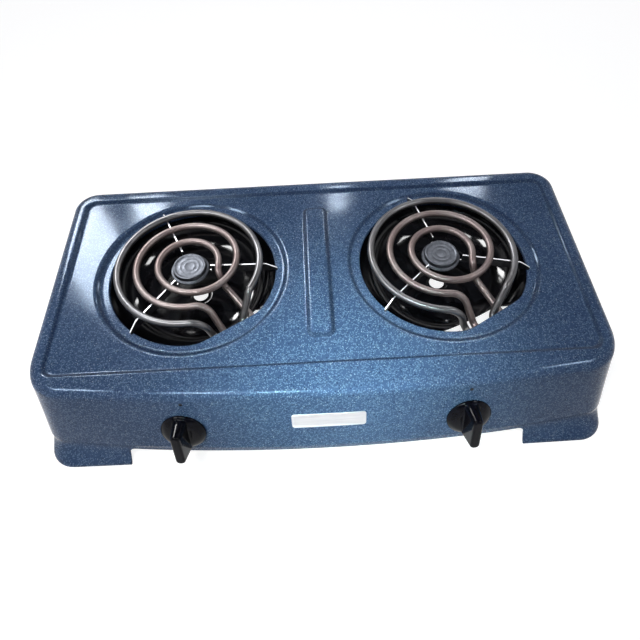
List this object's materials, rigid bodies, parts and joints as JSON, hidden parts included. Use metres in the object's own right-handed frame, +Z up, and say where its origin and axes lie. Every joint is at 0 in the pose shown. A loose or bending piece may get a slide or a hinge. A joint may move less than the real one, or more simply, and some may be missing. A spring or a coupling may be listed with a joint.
{
  "type": "electric hot plate",
  "caption": "Table-top electric stove with tilting tubular coil burners over black drip bowls in a bow-fronted enamelled body, with a bar-grip knob for each burner.",
  "frame": {"origin": "middle of the footprint, on the table", "axes": "+Z up, +X along the width to the right burner, -Y towards the knobs"},
  "size_m": [0.55, 0.3124, 0.0955],
  "materials": {
    "blue_enamel": "gloss enamel, dark blue with fine pale speckles",
    "black_enamel": "gloss black enamel",
    "coil_sheath": "satin, brown from heat",
    "bright_steel": "bright rolled strip",
    "hub_chrome": "polished",
    "plated_steel": "zinc plated",
    "black_knob": "gloss black moulding",
    "switch_case": "dark brown moulding",
    "terminal_brass": "satin",
    "lead_sleeve": "heat-proof sleeve",
    "white_ceramic": "unglazed",
    "black_rubber": "matt"
  },
  "bodies": {
    "base": {"top_shell": "blue_enamel", "left_reflector_bowl": "black_enamel", "left_bowl_studs": "plated_steel", "left_bowl_nuts": "plated_steel", "left_hinge_clips": "plated_steel", "left_switch_body": "switch_case", "left_switch_bush": "terminal_brass", "left_switch_screws": "plated_steel", "left_switch_tabs": "terminal_brass", "left_coil_leads": "lead_sleeve", "left_supply_leads": "lead_sleeve", "right_reflector_bowl": "black_enamel", "right_bowl_studs": "plated_steel", "right_bowl_nuts": "plated_steel", "right_hinge_clips": "plated_steel", "right_switch_body": "switch_case", "right_switch_bush": "terminal_brass", "right_switch_screws": "plated_steel", "right_switch_tabs": "terminal_brass", "right_coil_leads": "lead_sleeve", "right_supply_leads": "lead_sleeve", "mains_terminal_block": "white_ceramic", "mains_clamp_screws": "terminal_brass", "mains_block_screws": "plated_steel", "cord_grommet": "black_rubber"},
    "left_coil": {"left_outer_coil_tube": "coil_sheath", "left_inner_coil_tube": "coil_sheath", "left_support_arm_1": "bright_steel", "left_support_arm_2": "bright_steel", "left_support_arm_3": "bright_steel", "left_medallion": "hub_chrome", "left_hub_rivet": "plated_steel", "left_terminal_bracket": "plated_steel", "left_hinge_pin": "plated_steel", "left_terminal_insulators": "white_ceramic", "left_terminal_pins": "terminal_brass"},
    "left_control": {"left_knob": "black_knob", "left_switch_shaft": "plated_steel"},
    "right_coil": {"right_outer_coil_tube": "coil_sheath", "right_inner_coil_tube": "coil_sheath", "right_support_arm_1": "bright_steel", "right_support_arm_2": "bright_steel", "right_support_arm_3": "bright_steel", "right_medallion": "hub_chrome", "right_hub_rivet": "plated_steel", "right_terminal_bracket": "plated_steel", "right_hinge_pin": "plated_steel", "right_terminal_insulators": "white_ceramic", "right_terminal_pins": "terminal_brass"},
    "right_control": {"right_knob": "black_knob", "right_switch_shaft": "plated_steel"}
  },
  "joints": [
    {"name": "left_coil_tilt", "type": "hinge", "parent": "base", "child": "left_coil", "pos_m": [-0.08282, -0.03761, 0.074], "axis": [0.8192, 0.5736, 0], "range_deg": [0, 20], "deforming": ["left_coil_leads"]},
    {"name": "right_coil_tilt", "type": "hinge", "parent": "base", "child": "right_coil", "pos_m": [0.16117, -0.04554, 0.074], "axis": [0.9135, 0.4067, 0], "range_deg": [0, 20], "deforming": ["right_coil_leads"]},
    {"name": "left_knob_turn", "type": "hinge", "parent": "base", "child": "left_control", "pos_m": [-0.132, -0.12712, 0.044], "axis": [0.0638, 0.943, -0.3267], "range_deg": [0, 270]},
    {"name": "right_knob_turn", "type": "hinge", "parent": "base", "child": "right_control", "pos_m": [0.132, -0.12712, 0.044], "axis": [-0.0638, 0.943, -0.3267], "range_deg": [0, 270]}
  ]
}
